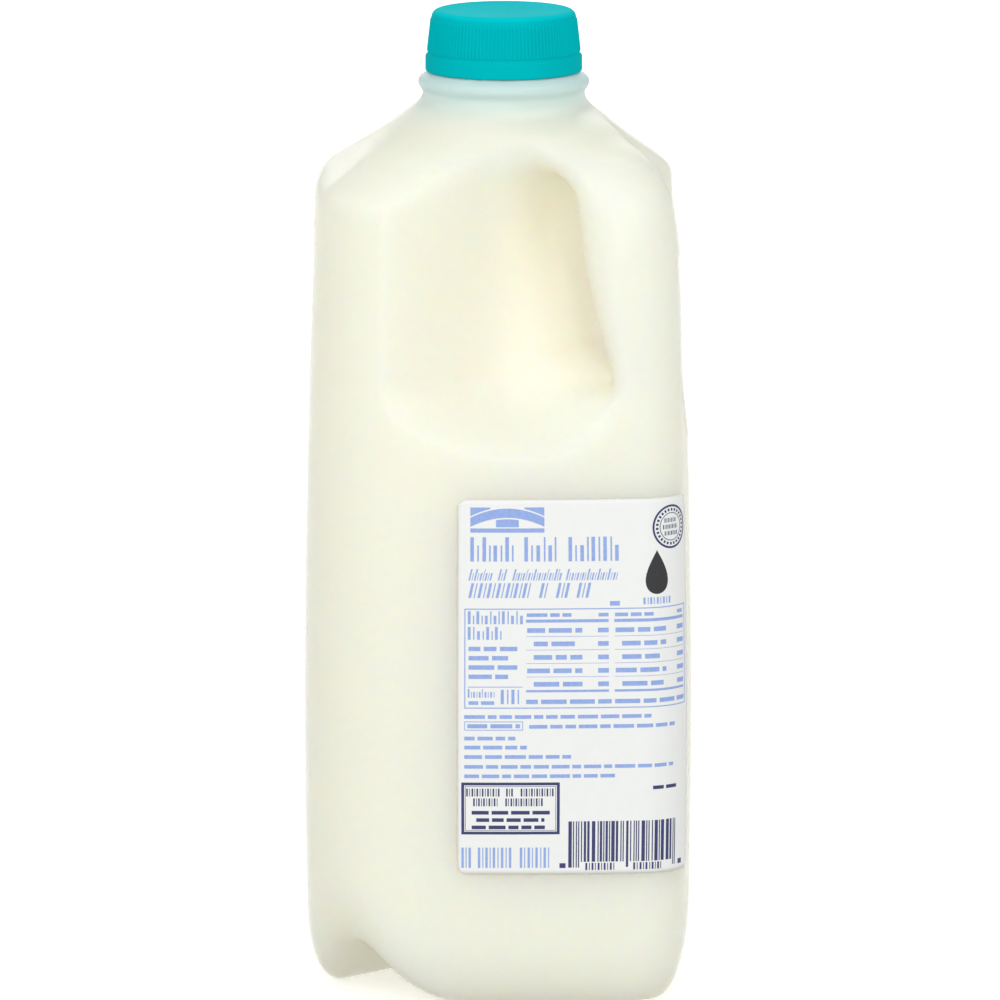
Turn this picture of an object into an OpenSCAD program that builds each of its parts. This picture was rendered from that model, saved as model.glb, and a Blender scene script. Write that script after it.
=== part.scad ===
// Half-gallon milk jug: blow-moulded bottle with a corner handle, its milk, screw cap and wrap label.
// Millimetres, +Z up, standing on z = 0 with the origin at the centre of the base.
// The handle corner points along +X, the finger hole runs along Y, and the mould parts on y = 0.

/* [Body] */
// Width across opposite faces at the widest point
body_w = 102.7; // [80:0.1:130]
// Height of the straight side, up to the start of the shoulder
side_h = 212; // [160:1:260]
// Height of the sloping shoulder, from the side up to the neck
shoulder_h = 21.5; // [10:0.5:40]
// Height of the widest point of the side
belly_z = 76; // [50:1:100]
// How far each face is drawn in at the shoulder
shoulder_in = 3.3; // [0:0.1:8]
// Radius of the crown across each face
face_r = 400; // [200:10:800]
// Radius of the handle corner and of the corner opposite
corner_r = 13; // [8:0.5:26]
// Radius of the two corners on the finger-hole axis
side_corner_r = 26.5; // [10:0.5:34]
// Softening where the side turns into the shoulder
shoulder_soft = 6; // [1:0.5:12]
// Thickness of the bottle's wall
wall = 0.6; // [0.5:0.1:1.5]

/* [Base] */
// How far the heel is drawn in at the floor
heel_in = 9.5; // [4:0.5:14]
// Height of the rounded heel
heel_h = 22.5; // [12:1:30]
// Height of the arched channel under the base
arch_h = 15; // [4:0.5:20]
// Half the width of the arched channel
arch_w = 23; // [12:0.5:28]
// Push-up of the base between the feet
base_dome = 2.5; // [0:0.1:5]

/* [Handle] */
// Distance of the dish floor from the centre
dish_x = 22.5; // [16:0.5:34]
// Slant of the dish floor to each side, in degrees
dish_slant = 8.7; // [0:0.1:20]
// Height of the handle's dish, from the foot of its scoop up to the start of the shoulder
dish_h = 69; // [50:1:90]
// Height of the scoop's curve up into the dish floor
scoop_h = 22.5; // [12:1:34]
// Softening of the dish's rim
dish_soft = 6; // [1:0.5:12]
// Depth of the finger pocket behind the top of the grip
pocket = 6; // [0:0.5:8]
// Share of a gentle ramp in the scoop, close to the foot of the grip
ramp = 0.8; // [0:0.05:1]
// How far the body leans out toward the foot of the grip
lean = 9; // [0:0.5:14]
// Height of the web that closes the gap between body and grip at its foot
web_h = 6; // [0:0.5:14]
// Width of the grip, side to side, at its thickest
grip_w = 27.8; // [18:0.2:34]
// Depth of the grip, front to back, at its thickest
grip_d = 22; // [14:0.2:26]
// Thickness of the arm that joins the grip to the neck
arm_d = 11.6; // [8:0.2:16]

/* [Neck and cap] */
// Offset of the neck toward the handle
neck_x = 2.1; // [0:0.1:6]
// Diameter of the neck under the bead
neck_d = 42.4; // [30:0.1:60]
// How far the neck's bead stands out
bead_out = 1.25; // [0.5:0.05:3]
// Height of the neck above the shoulder, bead included
bead_h = 6.9; // [4:0.1:12]
// How far the finish inside the cap is set in from the neck
finish_in = 2.6; // [1.5:0.1:6]
// Clearance between the finish and the cap
cap_clear = 0.4; // [0.1:0.05:1]
// Thickness of the cap's skirt under its ribs
cap_wall = 1.15; // [0.8:0.05:3]
// How far the plain tamper band stands out from the skirt
band_out = 0.7; // [0.2:0.05:2]
// Height of the tamper band
band_h = 4.3; // [2:0.1:8]
// Height of the cap, band included
cap_h = 16; // [10:0.1:24]
// Number of ribs round the cap
ribs = 120; // [40:4:160]
// Height of each rib
rib_d = 0.35; // [0.1:0.05:0.8]

/* [Label] */
// Height of the label's lower edge
label_z = 36; // [26:0.5:60]
// Height of the label
label_h = 99; // [60:0.5:110]
// Label's left edge, in degrees round from the handle corner
label_from = 56.6; // [30:0.1:70]
// Label's right edge, in degrees round past the handle corner
label_to = 3.8; // [1:0.1:14]
// Thickness of the label
label_t = 0.18; // [0.1:0.01:0.5]

/* [Contents] */
// Drop of the milk's level below the neck
headspace = 1.7; // [0.5:0.1:120]

/* [Part] */
// Node to draw, or all

/* [Hidden] */
$fn = 96;
half_w = body_w / 2;
neck_z = side_h + shoulder_h;
scoop_z = side_h - dish_h;
fill_z = neck_z - headspace;
neck_r = neck_d / 2;
bead_d = neck_d + 2 * bead_out;
finish_d = neck_d - 2 * finish_in;
cap_bore = finish_d + 2 * cap_clear;
cap_d = cap_bore + 2 * cap_wall;
band_d = cap_d + 2 * band_out;
label_top = label_z + label_h;
// the four crowned faces are arcs about centres this far behind the middle
face_c = face_r - half_w;
fc = face_c * cos(45);
cap_z = neck_z + bead_h + 0.7;
rim_z = cap_z + cap_h - 1.6;
hair = 0.02;

function lerp(a, b, t) = a + (b - a) * t;
function soft_min(a, b, k) = let (h = max(k - abs(a - b), 0) / k) min(a, b) - h * h * k / 4;
function unique(v) = len(v) < 2 ? v : let (p = v[floor(len(v) / 2)])
    concat(unique([for (x = v) if (x < p) x]), [p], unique([for (x = v) if (x > p) x]));
function unit(v) = v / norm(v);

// ---- outline: distance from the centre to the body's side, at an angle from the handle corner ----
function corner_c(r) = sqrt(pow(face_r - r, 2) - fc * fc) - fc;
function corner_end(r) = let (c = corner_c(r), u = unit([c + fc, fc])) atan2(r * u[1], c + r * u[0]);
function arc_ray(c, r, a) = c * cos(a) + sqrt(r * r - pow(c * sin(a), 2));
end_a = corner_end(corner_r);
end_b = corner_end(side_corner_r);
reach = corner_c(corner_r) + corner_r;
function outline(a) = let (u = a > 90 ? 180 - a : a)
    u < end_a ? arc_ray(corner_c(corner_r), corner_r, u)
    : 90 - u < end_b ? arc_ray(corner_c(side_corner_r), side_corner_r, 90 - u)
    : arc_ray(-face_c, face_r, u - 45);

// ---- side: how much of the full width is left at a height ----
function barrel(z) = 1 - (z > belly_z
    ? shoulder_in * pow((z - belly_z) / (side_h - belly_z), 1.6)
    : 1.2 * pow((belly_z - z) / belly_z, 2)) / half_w;
function heel(z) = z >= heel_h ? 0
    : heel_in * (1 - pow(1 - pow((heel_h - z) / heel_h, 2.2), 1 / 2.2));
function side(a, z) = outline(a) * barrel(z) - heel(z);

// ---- dish cut across the handle corner, with a scoop at its foot and a pocket behind the grip ----
function dish_d(a, z) = let (t = (scoop_z + scoop_h - z) / scoop_h,
    u = min(max((scoop_z + scoop_h + 2 - z) / (scoop_h + 2), 0), 1), c = 1 - sqrt(1 - pow(min(max(t, 0), 1), 2)))
    dish_x + (t >= 1 ? 2 * reach : (reach - dish_x + 1) * lerp(c, pow(u, 1.5), ramp * exp(-pow(a / 24, 2))));
hole_top = neck_z - 14;
function rise(z) = (z - scoop_z - scoop_h) / (hole_top - scoop_z - scoop_h);
function pocket_d(a, z) = let (t = rise(z)) t <= 0.3 || t >= 1.2 ? 0
    : pocket * sin(min((t - 0.3) / 0.6, 1) * 90) * sin(min((1.2 - t) / 0.2, 1) * 90) * exp(-pow(a / 24, 2));
function lean_d(a, z) = let (t = rise(z)) t >= 0.75 ? 0
    : lean * (1 - max(t, -0.2) / 0.75) * exp(-pow(a / 38, 2)) + web_d(a, z);
function web_d(a, z) = let (t = (scoop_z + scoop_h + web_h - z) / (web_h + 5)) t <= 0 ? 0
    : 13 * pow(min(t, 1), 1.5) * exp(-pow(a / 15, 2));
function cut(a, z) = a > 88 ? 3 * reach
    : (dish_d(a, z) - pocket_d(a, z) + lean_d(a, z)) / cos(a - dish_slant);

// ---- shoulder: straight lines from the top of the side in to the neck ----
lap = 0.35; // the shoulder laps round the foot of the neck by this much
function neck_ray(a) = neck_x * cos(a) + sqrt(pow(neck_r + lap, 2) - pow(neck_x * sin(a), 2));
function slope(a, z) = lerp(outline(a) * barrel(side_h), neck_ray(a), (z - side_h) / (neck_z - side_h));
function skin(a, z) = z >= neck_z ? neck_ray(a)
    : max(z > neck_z - 12 ? neck_ray(a) : 0, soft_min(z > side_h - 12 ? soft_min(side(a, z), slope(a, z), shoulder_soft)
        : side(a, z), cut(a, z), dish_soft));

// ---- base: two feet with an arched channel between them, along the finger-hole axis ----
function arch(x) = abs(x) >= arch_w ? 0 : arch_h / 2 * (1 + cos(180 * x / arch_w));

half_a = concat(unique(concat([0, label_to / 2, label_to, (label_to + end_a) / 2, end_a],
    [for (k = [1:5]) lerp(max(label_to, end_a), label_from, k / 5)])),
    [for (k = [1:5]) lerp(label_from, 90, k / 5)],
    [97, 104, 111, 126, 141, 156], [for (k = [3:-1:1]) 180 - end_a * k / 3]);
angles = concat([for (k = [len(half_a) - 1:-1:1]) -half_a[k]], half_a, [180]);
na = len(angles);
scoop = [for (t = [0.01, 0.06, 0.17, 0.35, 0.62, 1]) scoop_z + scoop_h * t];
levels = unique(concat([0, 1.2, 4.5, 10.5], [heel_h], [label_z, label_z + label_h * 0.3,
    label_z + label_h * 0.65, label_top], scoop,
    [for (t = [0.33, 0.7]) lerp(scoop_z + scoop_h, side_h - 6, t)],
    [side_h - 6, side_h - 1.5, side_h + 2], [for (t = [0.3, 0.55, 0.8, 1]) lerp(side_h, neck_z, t)],
    [neck_z + 2]));
base_s = [0.84, 0.66, 0.46, 0.24];
nl = len(levels);
nr = nl + len(base_s);

function wall_point(a, z) = let (r = skin(abs(a), z), x = r * cos(a))
    [x, r * sin(a), z + arch(x) * max(0, 1 - z / 50)];
function base_point(a, s) = let (r = side(abs(a), 0) * s, x = r * cos(a))
    [x, r * sin(a), max(arch(x), base_dome * (1 - pow(s / base_s[0], 2)))];
// rings from the neck down the side and in across the base
outer = [for (i = [0:nr - 1]) [for (a = angles)
    i < nl ? wall_point(a, levels[nl - 1 - i]) : base_point(a, base_s[i - nl])]];
function normal_at(i, j) = let (
    e = outer[i][(j + 1) % na] - outer[i][(j + na - 1) % na],
    s = outer[max(i - 1, 0)][j] - outer[min(i + 1, nr - 1)][j])
    i == 0 ? unit([e[1], -e[0], 0]) : unit(cross(e, s));
normals = [for (i = [0:nr - 1]) [for (j = [0:na - 1]) normal_at(i, j)]];
// same rings moved in by the wall, with the top ring carried up into the neck
inner = concat([[for (j = [0:na - 1]) outer[0][j] - wall * normals[0][j] + [0, 0, 1]]],
    [for (i = [0:nr - 1]) [for (j = [0:na - 1]) outer[i][j] - wall * normals[i][j]]]);

// closed solid through a stack of rings, capped by a point at each end
module rings(g, top, bottom) {
    n = len(g);
    m = len(g[0]);
    polyhedron([for (r = g) each r, top, bottom], concat(
        [for (i = [0:n - 2], j = [0:m - 1]) let (k = (j + 1) % m) each
            [[i * m + j, (i + 1) * m + k, (i + 1) * m + j], [i * m + j, i * m + k, (i + 1) * m + k]]],
        [for (j = [0:m - 1]) [n * m, (j + 1) % m, j]],
        [for (j = [0:m - 1]) [n * m + 1, (n - 1) * m + j, (n - 1) * m + (j + 1) % m]]));
}

module body_outer() rings(outer, [neck_x, 0, levels[nl - 1]], [0, 0, arch_h]);
module body_inner() rings(inner, [neck_x, 0, levels[nl - 1] + 1], [0, 0, arch_h + wall]);

// ---- grip: an oval section swept from the neck, over the bend and down into the handle corner ----
lift = side_h - scoop_z;
arm_x = reach - dish_x;
function grip_row(x, z, d, w) = [x, z, d / 2, w / 2];
grip_rows = [
    grip_row(dish_x - 9, neck_z - 8.4, arm_d * 1.05, grip_w * 1.16),
    grip_row(dish_x + arm_x * 0.08, neck_z - 9.2, arm_d * 1.05, grip_w * 1.08),
    grip_row(dish_x + arm_x * 0.30, neck_z - 12.4, arm_d * 1.05, grip_w),
    grip_row(dish_x + arm_x * 0.48, neck_z - 17.2, arm_d * 1.35, grip_w),
    grip_row(dish_x + arm_x * 0.575, neck_z - 24.2, grip_d * 0.95, grip_w),
    grip_row(dish_x + arm_x * 0.61, scoop_z + lift * 0.88, grip_d, grip_w),
    grip_row(dish_x + arm_x * 0.65, scoop_z + lift * 0.75, grip_d * 0.98, grip_w),
    grip_row(dish_x + arm_x * 0.722, scoop_z + lift * 0.57, grip_d * 0.88, grip_w * 0.94),
    grip_row(dish_x + arm_x * 0.79, scoop_z + lift * 0.36, grip_d * 0.74, grip_w * 0.84),
    grip_row(dish_x + arm_x * 0.80, scoop_z + lift * 0.19, grip_d * 0.72, grip_w * 0.88),
    grip_row(dish_x + arm_x * 0.78, scoop_z + lift * 0.05, grip_d * 0.78, grip_w * 1.0),
    grip_row(dish_x + arm_x * 0.68, scoop_z - lift * 0.12, grip_d * 0.8, grip_w * 1.0)];
function grip_ring(i, t) = let (r = grip_rows[i], n = len(grip_rows),
    a = grip_rows[max(i - 1, 0)], b = grip_rows[min(i + 1, n - 1)], d = unit([b[0] - a[0], b[1] - a[1]]))
    [for (k = [0:15]) let (u = (r[2] - t) * cos(k * 22.5), v = (r[3] - t) * sin(k * 22.5))
        [r[0] - u * d[1], v, r[1] + u * d[0]]];
module grip(t) {
    n = len(grip_rows);
    rings([for (i = [0:n - 1]) grip_ring(i, t)], [grip_rows[0][0], 0, grip_rows[0][1]],
        [grip_rows[n - 1][0], 0, grip_rows[n - 1][1]]);
}

module inside() {
    body_inner();
    grip(wall);
}

// neck outline, turned about the neck's own axis
module neck(t, z0, z1) {
    b = neck_z + bead_h - 2.2;
    translate([neck_x, 0, 0]) rotate_extrude() union() {
        translate([0, z0]) square([neck_r - t, b - z0]);
        translate([0, b - 1]) square([finish_d / 2 - t, z1 - b + 1]);
        if (t == 0) {
            translate([0, b - 1.9]) square([bead_d / 2 - 1.9, 3.8]);
            translate([bead_d / 2 - 1.9, b]) circle(1.9);
        }
    }
}

module bottle() {
    color("#eef1dd") difference() {
        union() {
            body_outer();
            grip(0);
            neck(0, neck_z - 0.5, rim_z);
        }
        inside();
        neck(wall, neck_z - 0.5, rim_z + 1);
    }
}

module milk() {
    color("#fbfbf2") intersection() {
        union() inside();
        translate([-100, -100, -1]) cube([200, 200, fill_z + 1]);
    }
}

module cap() {
    r = cap_d / 2 - rib_d;
    top = cap_z + cap_h;
    color("#04b6bd") translate([neck_x, 0, 0]) difference() {
        union() {
            translate([0, 0, cap_z]) cylinder(r = band_d / 2, h = band_h);
            translate([0, 0, cap_z + band_h]) cylinder(r = r - 0.3, h = 1);
            translate([0, 0, cap_z + band_h + 0.4]) linear_extrude(cap_h - band_h - 1.8)
                polygon([for (k = [0:4 * ribs - 1]) let (q = k % 4, p = (q == 1 || q == 2) ? r + rib_d : r)
                    [p * cos(90 * k / ribs), p * sin(90 * k / ribs)]]);
            rotate_extrude() union() {
                translate([0, top - 2.4]) square([r - 1.4, 2.4]);
                translate([0, top - 2.4]) square([r, 1]);
                translate([r - 1.4, top - 1.4]) circle(1.4);
            }
        }
        translate([0, 0, cap_z - 1]) cylinder(d = cap_bore, h = rim_z - cap_z + 1);
    }
}

module label() {
    js = [for (j = [0:na - 1]) if (angles[j] >= -label_from - 0.01 && angles[j] <= label_to + 0.01) j];
    is = [for (i = [0:nl - 1]) if (levels[nl - 1 - i] <= label_top + 0.01 && levels[nl - 1 - i] >= label_z - 0.01) i];
    n = len(is);
    m = len(js);
    q = n * m;
    function at(t) = [for (i = is, j = js) outer[i][j] + t * normals[i][j]];
    color("#f6f6f2") polyhedron(concat(at(hair + label_t), at(hair)), concat(
        [for (i = [0:n - 2], j = [0:m - 2]) let (p = i * m + j) each
            [[p, p + m + 1, p + m], [p, p + 1, p + m + 1]]],
        [for (i = [0:n - 2], j = [0:m - 2]) let (p = q + i * m + j) each
            [[p, p + m, p + m + 1], [p, p + m + 1, p + 1]]],
        [for (i = [0:n - 2]) let (p = i * m) each [[p, p + m, q + p + m], [p, q + p + m, q + p]]],
        [for (i = [0:n - 2]) let (p = i * m + m - 1) each [[p, q + p + m, p + m], [p, q + p, q + p + m]]],
        [for (j = [0:m - 2]) each [[j, q + j, q + j + 1], [j, q + j + 1, j + 1]]],
        [for (j = [0:m - 2]) let (p = (n - 1) * m + j) each [[p, q + p + 1, q + p], [p, p + 1, q + p + 1]]]));
}

bottle();
milk();
cap();
label();
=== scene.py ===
"""Half-gallon milk jug: blown bottle, milk, ribbed screw cap and printed label, round its CAD frame.

Millimetres in the working, metres in the meshes, +Z up, handle corner towards +X, mould parting on y = 0."""
import math
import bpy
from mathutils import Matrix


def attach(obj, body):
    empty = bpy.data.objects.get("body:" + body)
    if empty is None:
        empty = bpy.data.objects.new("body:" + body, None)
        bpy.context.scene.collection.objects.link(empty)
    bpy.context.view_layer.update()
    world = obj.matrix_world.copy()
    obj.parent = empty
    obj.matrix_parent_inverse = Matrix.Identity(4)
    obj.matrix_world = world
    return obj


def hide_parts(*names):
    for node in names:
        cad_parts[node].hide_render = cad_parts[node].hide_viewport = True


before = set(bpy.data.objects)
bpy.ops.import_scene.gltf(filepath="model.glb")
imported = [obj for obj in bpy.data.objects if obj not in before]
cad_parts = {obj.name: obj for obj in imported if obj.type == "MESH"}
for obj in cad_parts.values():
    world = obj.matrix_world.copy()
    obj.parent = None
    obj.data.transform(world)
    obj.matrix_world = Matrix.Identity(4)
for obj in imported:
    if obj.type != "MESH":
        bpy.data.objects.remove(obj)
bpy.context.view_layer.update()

from types import SimpleNamespace

import bpy
import numpy as np
from bpy.props import FloatProperty, FloatVectorProperty, IntProperty, PointerProperty
from bpy.types import Operator, Panel, PropertyGroup
from mathutils import Vector

bl_info = {
    "name": "Milk Jug",
    "version": (1, 0, 0),
    "blender": (4, 5, 0),
    "location": "View3D > Sidebar > Jug",
    "description": "Builds a half-gallon milk jug with its milk, cap and label",
    "category": "Add Mesh",
}

MM = 0.001
# degrees round from the grip over which the dish's foot is shaped: close to it, and wider for the lean
CLOSE, WIDE = 24, 38
# metres of the sheet from the jug to its rim, and of the pale wall's height
SHEET, WALL_H = 8.0, 6.0
# greatest strength of the painted light: an emission that lightens the shade in the finger gap, standing in for the
# light milk carries there
PAINTED_LIGHT_MAX = 0.085


# ---------------------------------------------------------------- sizes and colours

def size(name, default, description, low=0.0, high=0.4):
    """A length the user can change, given in millimetres and stored in metres."""
    return FloatProperty(name=name, description=description, default=default * MM,
                         min=low, max=high, unit="LENGTH", precision=5)


def tint(name, code, description):
    """A colour the user can change, given as an sRGB hex value and stored linear."""
    return FloatVectorProperty(name=name, description=description, subtype="COLOR", size=3,
                               default=linear(code), min=0.0, max=1.0)


def linear(code):
    """sRGB hex to linear light: c/12.92 below 0.04045, ((c+0.055)/1.055)^2.4 above it."""
    c = np.array([int(code[i:i + 2], 16) for i in (1, 3, 5)]) / 255.0
    return tuple(float(v) for v in np.where(c <= 0.04045, c / 12.92, ((c + 0.055) / 1.055) ** 2.4))


class JugBodySizes(PropertyGroup):
    body_w: size("Body width", 102.7, "Width across opposite faces at the widest point")
    side_h: size("Side height", 212, "Height of the straight side, up to the shoulder")
    neck_z: size("Neck height", 233.5, "Height where the shoulder meets the neck")
    belly_z: size("Belly height", 76, "Height of the widest point of the side")
    shoulder_in: size("Shoulder draw-in", 3.3, "How far each face is drawn in at the shoulder")
    face_r: size("Face crown", 400, "Radius of the crown across each face", high=2.0)
    corner_r: size("Handle corner radius", 13, "Radius of the handle corner and the one opposite")
    side_corner_r: size("Side corner radius", 26.5, "Radius of the two corners on the finger-gap axis")
    shoulder_soft: size("Shoulder softness", 4.5, "Softening where the side turns into the shoulder")
    wall: size("Wall", 0.6, "Thickness of the blown wall")
    heel_in: size("Heel draw-in", 9.5, "How far the heel is drawn in at the floor")
    heel_h: size("Heel height", 22.5, "Height of the rounded heel")
    arch_h: size("Channel height", 15, "Height of the channel under the base")
    arch_w: size("Channel half width", 23, "Half the width of the channel under the base")
    base_dome: size("Base push-up", 2.5, "Push-up of the base between the feet")
    fill_z: size("Milk level", 231.8, "Height of the milk's surface")


class JugGripSizes(PropertyGroup):
    dish_x: size("Dish floor", 22.5, "Distance of the dish floor from the centre")
    dish_slant: FloatProperty(name="Dish slant", description="Slant of the dish floor to each side",
                              default=math.radians(8.7), subtype="ANGLE")
    scoop_z: size("Scoop height", 143, "Height where the scoop under the grip begins")
    scoop_h: size("Scoop rise", 22.5, "Height of the scoop's curve up into the dish floor")
    dish_soft: size("Dish rim softness", 11, "Softening of the dish's rim")
    pocket: size("Finger pocket", 4, "Depth of the pocket behind the top of the grip")
    lean: size("Lean", 9, "How far the body leans out toward the foot of the grip")
    ramp: FloatProperty(name="Foot ramp", description="Share of a gentle ramp in the scoop, close to the grip",
                        default=0.8, min=0.0, max=1.0)
    web_h: size("Web height", 6, "Height of the web at the foot of the grip")
    grip_w: size("Grip width", 27.8, "Width of the grip, side to side, at its thickest")
    grip_d: size("Grip depth", 22, "Depth of the grip, front to back, at its thickest")
    arm_d: size("Arm thickness", 11.6, "Thickness of the arm that joins the grip to the neck")
    blend: size("Grip blend", 12, "Reach of the fillet between grip and body")


class JugNeckSizes(PropertyGroup):
    neck_x: size("Neck offset", 2.1, "Offset of the neck toward the handle")
    neck_d: size("Neck diameter", 42.4, "Diameter of the neck under the bead")
    bead_d: size("Bead diameter", 44.9, "Diameter of the neck's bead")
    bead_h: size("Neck rise", 6.9, "Height of the neck above the shoulder, bead included")
    finish_d: size("Finish diameter", 35.8, "Diameter of the finish inside the cap")
    cap_d: size("Cap diameter", 40.3, "Diameter of the cap's ribbed skirt")
    band_d: size("Band diameter", 41.1, "Diameter of the tamper band")
    band_h: size("Band height", 4.3, "Height of the tamper band")
    cap_h: size("Cap height", 16, "Height of the cap, band included")
    draft: size("Skirt draft", 0.85, "How much smaller the skirt's radius is at the top than at the band")
    rib_d: size("Rib height", 0.35, "Height of each rib on the cap")
    ribs: IntProperty(name="Ribs", description="Number of ribs round the cap", default=120, min=40, max=160)


class JugLabelSizes(PropertyGroup):
    label_z: size("Label foot", 36, "Height of the label's lower edge")
    label_h: size("Label height", 99, "Height of the label")
    label_from: FloatProperty(name="Left edge", description="Angle of the label's left edge from the handle corner",
                              default=math.radians(-56.6), subtype="ANGLE")
    label_to: FloatProperty(name="Right edge", description="Angle of the label's right edge past the handle corner",
                            default=math.radians(5.8), subtype="ANGLE")
    label_t: size("Label thickness", 0.16, "Thickness of the label film")
    ink_t: size("Ink height", 0.03, "Height of the printed ink over the film")


class JugColours(PropertyGroup):
    bottle: tint("Bottle", "#FCFDEC", "Natural polyethylene over milk")
    bottle_clear: tint("Empty wall", "#D2EEEC", "Natural polyethylene where no milk backs it")
    milk: tint("Milk", "#FEFDEE", "Milk")
    # painted light: colour of the emission painted into the finger gap to lighten its shade
    painted_light_tint: tint("Carried light", "#FFE9D2", "Light that stands in for what milk carries into the finger gap")
    cap: tint("Cap", "#00C9D1", "Cap plastic")
    film: tint("Label film", "#EFF1F0", "Label film")
    ink_pale: tint("Pale ink", "#8FA9E2", "Pale blue ink")
    ink_navy: tint("Navy ink", "#2B2F63", "Navy ink")
    ink_black: tint("Black ink", "#17171B", "Black ink")
    floor: tint("Floor", "#F7F7F5", "Studio floor")


def in_mm(group):
    """Every size of a property group in millimetres, with angles in radians and counts as they are."""
    out = {}
    for key in group.__annotations__:
        value = getattr(group, key)
        prop = group.bl_rna.properties[key]
        out[key] = value / MM if getattr(prop, "unit", "") == "LENGTH" else value
    return out


def jug_sizes(scene):
    """All sizes as one bag of plain numbers, with the heights that follow from them."""
    s = SimpleNamespace(**in_mm(scene.jug_body), **in_mm(scene.jug_grip),
                        **in_mm(scene.jug_neck), **in_mm(scene.jug_label))
    s.half_w = s.body_w / 2
    s.face_c = s.face_r - s.half_w
    s.fc = s.face_c * math.cos(math.pi / 4)
    s.neck_r = s.neck_d / 2
    s.cap_z = s.neck_z + s.bead_h + 0.7
    s.rim_z = s.cap_z + s.cap_h - 1.6
    s.reach = corner_centre(s, s.corner_r) + s.corner_r
    s.hole_top = s.neck_z - 14
    s.path = grip_path(s)
    s.run = np.gradient(s.path, axis=0)
    return s


# ---------------------------------------------------------------- the body's surface

def lerp(a, b, t):
    """A straight mix: a + (b - a) t."""
    return a + (b - a) * t


def smooth(t):
    """0 to 1 with level ends: t*t*(3 - 2t)."""
    t = np.clip(t, 0, 1)
    return t * t * (3 - 2 * t)


def soft_min(a, b, k):
    """The lesser of two fields, with the corner between them filled over a reach k."""
    k = np.maximum(k, 1e-6)
    h = np.maximum(k - np.abs(a - b), 0) / k
    return np.minimum(a, b) - h * h * k / 4


def soft_max(a, b, k):
    """The greater of two fields, softened the same way."""
    return -soft_min(-a, -b, k)


def corner_centre(s, r):
    """Distance of a corner arc's centre from the axis, so that it meets the crowned faces level."""
    return math.sqrt((s.face_r - r) ** 2 - s.fc ** 2) - s.fc


def corner_end(s, r):
    """Angle at which a corner arc gives way to the face."""
    c = corner_centre(s, r)
    v = np.array([c + s.fc, s.fc])
    v = v / np.linalg.norm(v)
    return math.atan2(r * v[1], c + r * v[0])


def arc_ray(c, r, a):
    """Where a ray from the axis at angle a leaves a circle of radius r centred c out:
    c cos a + root(r^2 - (c sin a)^2)."""
    return c * np.cos(a) + np.sqrt(np.maximum(r * r - (c * np.sin(a)) ** 2, 0))


def outline(s, a):
    """Plan outline at the belly: corner arcs on +X and -X, wider arcs on +Y and -Y, crowned faces between."""
    u = np.where(a > math.pi / 2, math.pi - a, a)
    face = arc_ray(-s.face_c, s.face_r, u - math.pi / 4)
    tight = arc_ray(corner_centre(s, s.corner_r), s.corner_r, np.minimum(u, corner_end(s, s.corner_r)))
    v = math.pi / 2 - u
    wide = arc_ray(corner_centre(s, s.side_corner_r), s.side_corner_r,
                   np.minimum(v, corner_end(s, s.side_corner_r)))
    return np.where(u < corner_end(s, s.corner_r), tight, np.where(v < corner_end(s, s.side_corner_r), wide, face))


def barrel(s, z):
    """Share of the full width left at a height: drawn in by a power curve above the belly, a parabola below."""
    up = s.shoulder_in * np.maximum((z - s.belly_z) / (s.side_h - s.belly_z), 0) ** 1.6
    down = 1.2 * np.maximum((s.belly_z - z) / s.belly_z, 0) ** 2
    return 1 - (up + down) / s.half_w


def dish_cut(s, a, z):
    """Distance out to the dish cut across the handle corner: a slanted floor, dish_x / cos(a - slant), with an
    elliptical scoop at its foot, 1 - root(1 - t^2), that turns to a gentler t^1.5 close to the grip, a pocket
    behind the top of the grip, and a lean and a web at its foot."""
    t = np.clip((s.scoop_z + s.scoop_h - z) / s.scoop_h, 0, 1)
    deg = np.degrees(a)
    close = np.exp(-(deg / CLOSE) ** 2)
    slow = np.clip((s.scoop_z + s.scoop_h + 2 - z) / (s.scoop_h + 2), 0, 1) ** 1.5
    curve = lerp(1 - np.sqrt(1 - t * t), slow, s.ramp * close)
    floor = s.dish_x + np.where(t >= 1, 2 * s.reach, (s.reach - s.dish_x + 1) * curve)
    rise = (z - s.scoop_z - s.scoop_h) / (s.hole_top - s.scoop_z - s.scoop_h)
    pocket = s.pocket * smooth((rise - 0.25) / 0.6) * smooth((1.22 - rise) / 0.22) * close
    lean = s.lean * np.maximum(1 - np.maximum(rise, -0.2) / 0.75, 0) * np.exp(-(deg / WIDE) ** 2)
    web = 20 * np.clip((s.scoop_z + s.scoop_h + s.web_h - z) / (s.web_h + 5), 0, 1) ** 1.5 * close
    reach = (floor - pocket + lean + web) / np.maximum(np.cos(a - s.dish_slant), 0.02)
    return np.where(a > math.radians(88), 3 * s.reach, reach)


def neck_ray(s, a):
    """Distance from the jug's axis out to the neck, whose own axis is set over toward the handle."""
    r = s.neck_r + 0.2
    return s.neck_x * np.cos(a) + np.sqrt(r * r - (s.neck_x * np.sin(a)) ** 2)


def skin(s, a, z, heel=True):
    """Radius of the body at an angle from the handle corner and a height: the barrelled side, run into
    straight shoulder lines to the neck, with the dish taken out of the handle corner."""
    a = np.abs(a)
    side = outline(s, a) * barrel(s, z)
    if heel:
        q = np.clip((s.heel_h - z) / s.heel_h, 0, 1)
        side = side - s.heel_in * (1 - (1 - q ** 2.2) ** (1 / 2.2))
    slope = lerp(outline(s, a) * barrel(s, s.side_h), neck_ray(s, a), (z - s.side_h) / (s.neck_z - s.side_h))
    body = np.where(z > s.side_h - 14, soft_min(side, slope, s.shoulder_soft), side)
    return soft_min(body, dish_cut(s, a, z), s.dish_soft)


def arch(s, x):
    """Channel under the base: a raised-cosine bell across X, the same all along Y."""
    return np.where(np.abs(x) < s.arch_w, s.arch_h / 2 * (1 + np.cos(math.pi * x / s.arch_w)), 0)


# ---------------------------------------------------------------- the grip's path

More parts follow.
